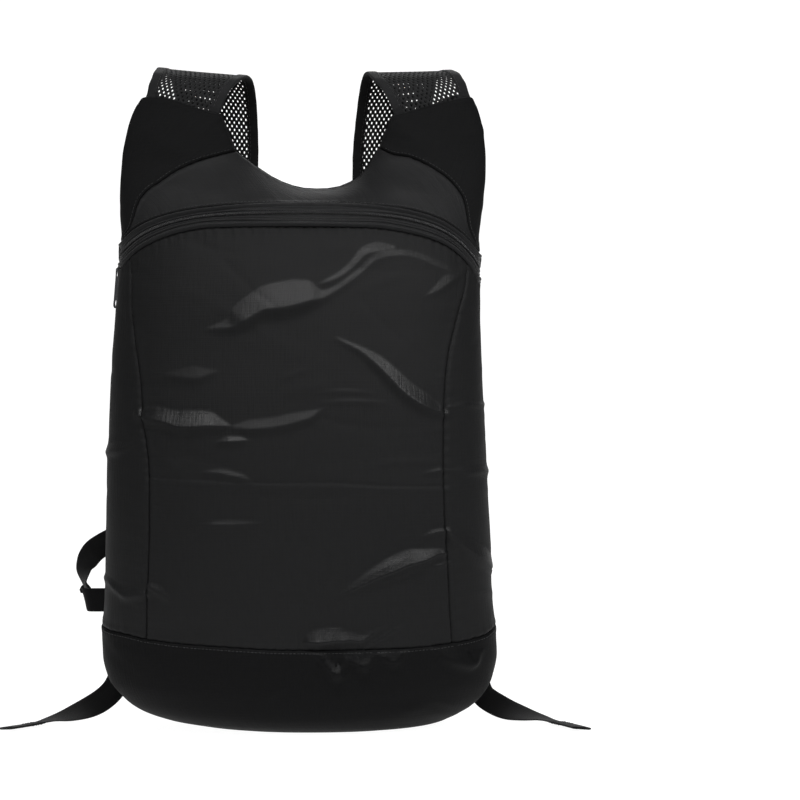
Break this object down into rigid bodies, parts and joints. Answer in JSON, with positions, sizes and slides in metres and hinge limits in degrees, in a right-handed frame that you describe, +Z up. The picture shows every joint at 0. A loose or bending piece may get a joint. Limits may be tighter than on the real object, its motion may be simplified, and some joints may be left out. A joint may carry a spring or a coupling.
{
  "type": "packable backpack",
  "caption": "Soft nylon daypack standing filled on its flat base, with a zip round the top, mesh shoulder straps and adjustable webbing with free tails.",
  "frame": {"origin": "on the ground, on the bag's flat base, under the middle of the bag", "axes": "+Z up, +X to the right seen from the front, +Y to the back (the straps' side); the front faces -Y"},
  "size_m": [0.4904, 0.1648, 0.5491],
  "materials": {
    "nylon": "satin",
    "base_nylon": "satin",
    "strap_mesh": "matte",
    "binding": "matte",
    "zip_tape": "matte",
    "webbing": "matte",
    "zip_teeth": "satin",
    "buckle": "satin",
    "zip_metal": "satin"
  },
  "bodies": {
    "bag": {"front_panel": "nylon", "side_panel_left": "nylon", "side_panel_right": "nylon", "back_panel": "nylon", "base_panel": "base_nylon", "yoke_panel": "nylon", "wing_left": "nylon", "wing_right": "nylon", "zip_tape_lower": "zip_tape", "zip_tape_upper": "zip_tape", "zip_coil": "zip_teeth", "zip_slider": "zip_metal", "strap_left": "strap_mesh", "strap_binding_left_inner": "binding", "strap_binding_left_outer": "binding", "ladder_lock_left": "buckle", "lock_loop_left": "webbing", "webbing_left": "webbing", "strap_right": "strap_mesh", "strap_binding_right_inner": "binding", "strap_binding_right_outer": "binding", "ladder_lock_right": "buckle", "lock_loop_right": "webbing", "webbing_right": "webbing"},
    "zip_pull": {"zip_pull": "zip_metal"}
  },
  "joints": [
    {"name": "zip_pull_swing", "type": "hinge", "parent": "bag", "child": "zip_pull", "pos_m": [-0.15124, 0.02981, 0.37951], "axis": [0.4977, 0.8674, 0], "range_deg": [0, 150]}
  ]
}
